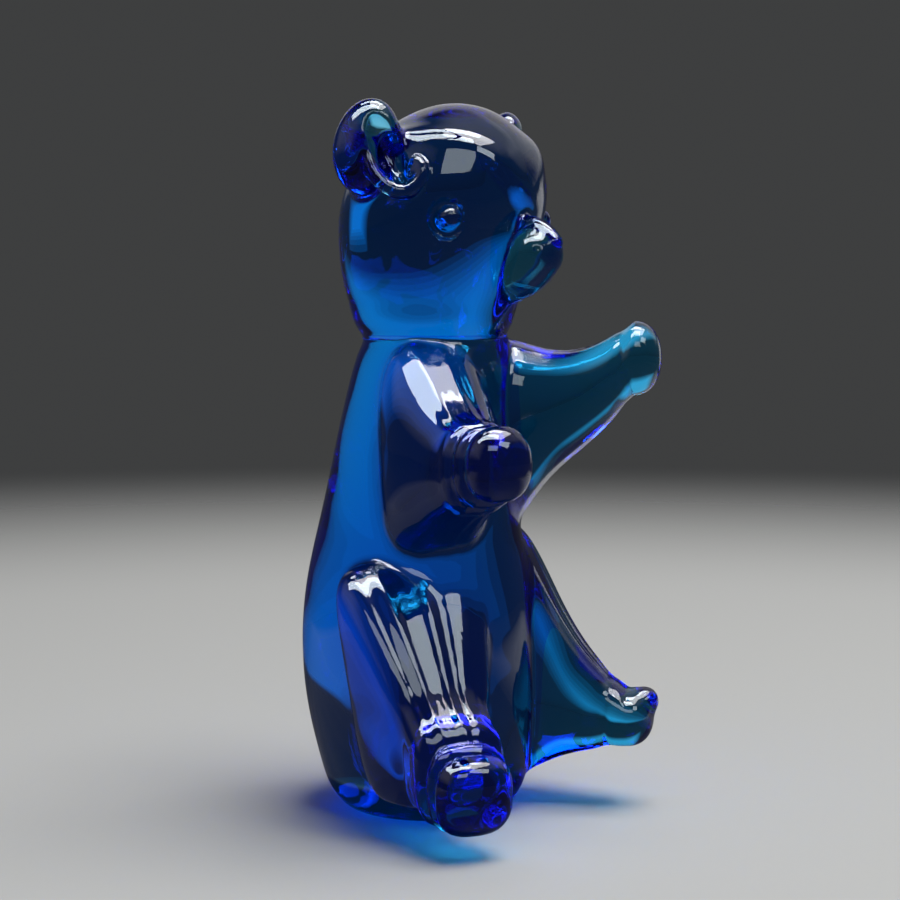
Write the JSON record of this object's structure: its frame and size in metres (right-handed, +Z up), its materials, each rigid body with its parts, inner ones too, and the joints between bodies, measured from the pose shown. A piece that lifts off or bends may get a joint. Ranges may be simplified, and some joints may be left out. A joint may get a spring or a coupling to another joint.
{
  "type": "glass bear figurine",
  "caption": "Solid blue glass bear cub figurine, seated upright on a ground flat base with arms and legs held out in front and one arm raised.",
  "frame": {"origin": "on the table, under the middle of the figure's bounding box", "axes": "+Z up, the cub looks along -Y, its own right side is -X"},
  "size_m": [0.0671, 0.0703, 0.1495],
  "materials": {
    "blue_glass": "fire-polished, clear cobalt blue that goes cyan where it is thin"
  },
  "bodies": {
    "root": {"torso": "blue_glass", "head": "blue_glass", "muzzle": "blue_glass", "ear_left": "blue_glass", "ear_right": "blue_glass", "eye_left": "blue_glass", "eye_right": "blue_glass", "arm_left": "blue_glass", "arm_right": "blue_glass", "leg_left": "blue_glass", "leg_right": "blue_glass"}
  },
  "joints": []
}
